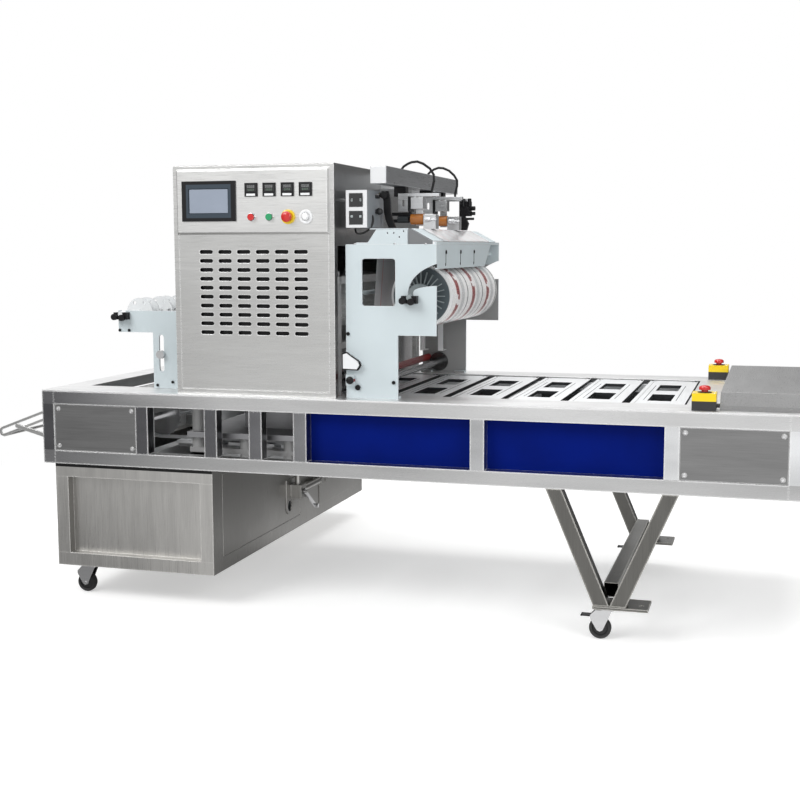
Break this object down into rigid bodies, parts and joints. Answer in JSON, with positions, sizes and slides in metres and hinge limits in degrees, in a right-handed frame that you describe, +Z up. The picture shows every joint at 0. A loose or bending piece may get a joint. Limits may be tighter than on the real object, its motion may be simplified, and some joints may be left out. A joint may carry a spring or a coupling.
{
  "type": "inline tray packaging machine",
  "caption": "Inline tray sealing machine: index conveyor with windowed carriers, press cabinet, overhead film unit with coders, rewinder, pump cabinet and V legs on castors.",
  "frame": {"origin": "on the floor, centred on the machine's overall length and depth", "axes": "+X along the conveyor from its discharge end to its infeed end, -Y towards the operator, +Z up"},
  "size_m": [3.0328, 1.76, 1.6516],
  "materials": {
    "black_plastic": "moulded",
    "black_rubber": "moulded",
    "blue_plastic": "glossy sheet",
    "bright_aluminium": "milled, anodised",
    "bright_steel": "ground and polished",
    "cabinet_steel": "brushed, satin",
    "console_steel": "brushed, satin",
    "dark_steel": "brushed, warm grey",
    "deck_steel": "brushed, bright",
    "film": "thin film with plain stripes",
    "frame_steel": "brushed, satin",
    "green_plastic": "moulded",
    "grey_plastic": "moulded",
    "hood_steel": "brushed, satin",
    "motor_paint": "enamel",
    "plate_paint": "powder coated, satin",
    "red_plastic": "moulded",
    "red_rubber": "ground rubber sleeve",
    "ribbon": "wound ribbon",
    "white_plastic": "moulded"
  },
  "bodies": {
    "machine": {"table_frame": "frame_steel", "conveyor_bed": "bright_steel", "deck_plates": "deck_steel", "cover_plates": "frame_steel", "blue_panels": "blue_plastic", "drive_motor": "motor_paint", "drive_hood": "hood_steel", "estop_boxes": "black_plastic", "lower_cabinet": "dark_steel", "vacuum_pump": "motor_paint", "leg_frame": "dark_steel", "cabinet_walls": "cabinet_steel", "vent_panel": "cabinet_steel", "control_panel": "console_steel", "panel_instruments": "black_plastic", "press_frame": "bright_steel", "film_plates": "plate_paint", "coder_table": "plate_paint", "film_web": "film", "coder_beam": "frame_steel", "coder_box": "grey_plastic", "coder_frames": "black_plastic", "coder_blocks": "bright_aluminium", "rewind_plates": "plate_paint", "shaft_clamps": "black_plastic"},
    "carriers_top": {"carriers_top": "bright_aluminium"},
    "carriers_return": {"carriers_return": "bright_aluminium"},
    "drive_shaft": {"drive_shaft": "bright_steel"},
    "idler_shaft": {"idler_shaft": "bright_steel"},
    "estop_button_front": {"estop_button_front": "red_plastic"},
    "estop_button_rear": {"estop_button_rear": "red_plastic"},
    "pump_door": {"pump_door": "dark_steel"},
    "valve_lever": {"valve_lever": "bright_steel"},
    "caster_fork_1": {"caster_fork_1": "bright_steel"},
    "caster_fork_2": {"caster_fork_2": "bright_steel"},
    "caster_fork_3": {"caster_fork_3": "bright_steel"},
    "caster_fork_4": {"caster_fork_4": "bright_steel"},
    "caster_wheel_1": {"caster_wheel_1": "black_rubber"},
    "caster_wheel_2": {"caster_wheel_2": "black_rubber"},
    "caster_wheel_3": {"caster_wheel_3": "black_rubber"},
    "caster_wheel_4": {"caster_wheel_4": "black_rubber"},
    "brake_pedal_1": {"brake_pedal_1": "black_plastic"},
    "brake_pedal_2": {"brake_pedal_2": "black_plastic"},
    "stop_button": {"stop_button": "red_plastic"},
    "start_button": {"start_button": "green_plastic"},
    "panel_estop": {"panel_estop": "red_plastic"},
    "upper_mould": {"upper_mould": "bright_aluminium"},
    "lower_mould": {"lower_mould": "bright_aluminium"},
    "film_roll": {"film_core": "grey_plastic", "film_roll": "film"},
    "red_roller": {"red_roller": "red_rubber"},
    "chrome_roller": {"chrome_roller": "bright_steel"},
    "film_latch": {"film_latch": "bright_steel"},
    "coder_heads": {"coder_heads": "bright_aluminium"},
    "ribbon_roll_1": {"ribbon_roll_1": "ribbon"},
    "ribbon_roll_2": {"ribbon_roll_2": "ribbon"},
    "rewind_reels": {"rewind_reels": "white_plastic"},
    "dancer_roller": {"dancer_roller": "bright_steel"},
    "slide_tray": {"slide_tray": "frame_steel"},
    "slide_struts": {"slide_struts": "frame_steel"}
  },
  "joints": [
    {"name": "carriers_index", "type": "slide", "parent": "machine", "child": "carriers_top", "axis": [-1, 0, 0], "range_m": [-0.1075, 0.1075]},
    {"name": "carriers_return_index", "type": "slide", "parent": "machine", "child": "carriers_return", "axis": [1, 0, 0], "range_m": [-0.1075, 0.1075]},
    {"name": "drive_spin", "type": "hinge", "parent": "machine", "child": "drive_shaft", "pos_m": [1.34439, -0.868, 0.69082], "axis": [0, 1, 0], "range_deg": [-80, 80]},
    {"name": "idler_spin", "type": "hinge", "parent": "machine", "child": "idler_shaft", "pos_m": [-0.85561, -0.868, 0.69082], "axis": [0, 1, 0], "range_deg": [-80, 80]},
    {"name": "estop_front_press", "type": "slide", "parent": "machine", "child": "estop_button_front", "axis": [0, 0, -1], "range_m": [0, 0.005]},
    {"name": "estop_rear_press", "type": "slide", "parent": "machine", "child": "estop_button_rear", "axis": [0, 0, -1], "range_m": [0, 0.005]},
    {"name": "pump_door_swing", "type": "hinge", "parent": "machine", "child": "pump_door", "pos_m": [-0.54981, 0.842, 0.323], "axis": [0, 0, 1], "range_deg": [0, 100]},
    {"name": "valve_turn", "type": "hinge", "parent": "machine", "child": "valve_lever", "pos_m": [-0.50141, -0.068, 0.3], "axis": [1, 0, 0], "range_deg": [0, 90]},
    {"name": "swivel_1", "type": "hinge", "parent": "machine", "child": "caster_fork_1", "pos_m": [-1.11561, -0.77, 0.11], "axis": [0, 0, 1], "continuous": true},
    {"name": "wheel_spin_1", "type": "hinge", "parent": "caster_fork_1", "child": "caster_wheel_1", "pos_m": [-1.14161, -0.77, 0.038], "axis": [0, 1, 0], "continuous": true},
    {"name": "swivel_2", "type": "hinge", "parent": "machine", "child": "caster_fork_2", "pos_m": [-1.11561, 0.782, 0.11], "axis": [0, 0, 1], "continuous": true},
    {"name": "wheel_spin_2", "type": "hinge", "parent": "caster_fork_2", "child": "caster_wheel_2", "pos_m": [-1.14161, 0.782, 0.038], "axis": [0, 1, 0], "continuous": true},
    {"name": "swivel_3", "type": "hinge", "parent": "machine", "child": "caster_fork_3", "pos_m": [0.89239, -0.822, 0.11], "axis": [0, 0, 1], "continuous": true},
    {"name": "wheel_spin_3", "type": "hinge", "parent": "caster_fork_3", "child": "caster_wheel_3", "pos_m": [0.86639, -0.822, 0.038], "axis": [0, 1, 0], "continuous": true},
    {"name": "swivel_4", "type": "hinge", "parent": "machine", "child": "caster_fork_4", "pos_m": [0.89239, 0.217, 0.11], "axis": [0, 0, 1], "continuous": true},
    {"name": "wheel_spin_4", "type": "hinge", "parent": "caster_fork_4", "child": "caster_wheel_4", "pos_m": [0.86639, 0.217, 0.038], "axis": [0, 1, 0], "continuous": true},
    {"name": "brake_1", "type": "hinge", "parent": "caster_fork_3", "child": "brake_pedal_1", "pos_m": [0.83839, -0.822, 0.078], "axis": [0, -1, 0], "range_deg": [0, 20]},
    {"name": "brake_2", "type": "hinge", "parent": "caster_fork_4", "child": "brake_pedal_2", "pos_m": [0.83839, 0.217, 0.078], "axis": [0, -1, 0], "range_deg": [0, 20]},
    {"name": "stop_press", "type": "slide", "parent": "machine", "child": "stop_button", "axis": [0, 1, 0], "range_m": [0, 0.003], "stiffness_N_per_m": 600},
    {"name": "start_press", "type": "slide", "parent": "machine", "child": "start_button", "axis": [0, 1, 0], "range_m": [0, 0.003], "stiffness_N_per_m": 600},
    {"name": "panel_estop_press", "type": "slide", "parent": "machine", "child": "panel_estop", "axis": [0, 1, 0], "range_m": [0, 0.005]},
    {"name": "upper_mould_stroke", "type": "slide", "parent": "machine", "child": "upper_mould", "axis": [0, 0, 1], "range_m": [-0.053, 0]},
    {"name": "lower_mould_lift", "type": "slide", "parent": "machine", "child": "lower_mould", "axis": [0, 0, 1], "range_m": [0, 0.05]},
    {"name": "film_unwind", "type": "hinge", "parent": "machine", "child": "film_roll", "pos_m": [0.18439, -0.868, 1.16], "axis": [0, 1, 0], "continuous": true},
    {"name": "red_roller_spin", "type": "hinge", "parent": "machine", "child": "red_roller", "pos_m": [-0.02961, -0.868, 0.864], "axis": [0, 1, 0], "continuous": true},
    {"name": "chrome_roller_spin", "type": "hinge", "parent": "machine", "child": "chrome_roller", "pos_m": [0.02239, -0.868, 0.846], "axis": [0, 1, 0], "continuous": true},
    {"name": "latch_turn", "type": "hinge", "parent": "machine", "child": "film_latch", "pos_m": [-0.03061, -0.868, 0.93], "axis": [0, -1, 0], "range_deg": [0, 90]},
    {"name": "coder_stroke", "type": "slide", "parent": "machine", "child": "coder_heads", "axis": [0, 0, 1], "range_m": [-0.01, 0], "stiffness_N_per_m": 2000, "springref_m": 0.01},
    {"name": "ribbon_spin_1", "type": "hinge", "parent": "machine", "child": "ribbon_roll_1", "pos_m": [0.13214, -0.523, 1.437], "axis": [1, 0, 0], "continuous": true},
    {"name": "ribbon_spin_2", "type": "hinge", "parent": "machine", "child": "ribbon_roll_2", "pos_m": [0.13214, -0.173, 1.437], "axis": [1, 0, 0], "continuous": true},
    {"name": "rewind_spin", "type": "hinge", "parent": "machine", "child": "rewind_reels", "pos_m": [-0.99361, -0.868, 1.083], "axis": [0, 1, 0], "continuous": true},
    {"name": "dancer_travel", "type": "slide", "parent": "machine", "child": "dancer_roller", "axis": [0, 0, 1], "range_m": [-0.054, 0.064]},
    {"name": "slide_tilt", "type": "hinge", "parent": "machine", "child": "slide_tray", "pos_m": [-1.23061, -0.868, 0.717], "axis": [0, 1, 0], "range_deg": [-4, 4]},
    {"name": "strut_tilt", "type": "hinge", "parent": "machine", "child": "slide_struts", "pos_m": [-1.23061, -0.868, 0.59], "axis": [0, 1, 0], "range_deg": [-6, 6]}
  ],
  "couplings": [
    {"joint": "carriers_return_index", "follows": "carriers_index", "ratio": 1},
    {"joint": "drive_spin", "follows": "carriers_index", "rad_per_m": -12.318},
    {"joint": "idler_spin", "follows": "carriers_index", "rad_per_m": -12.318},
    {"joint": "strut_tilt", "follows": "slide_tilt", "ratio": 1.2666}
  ]
}
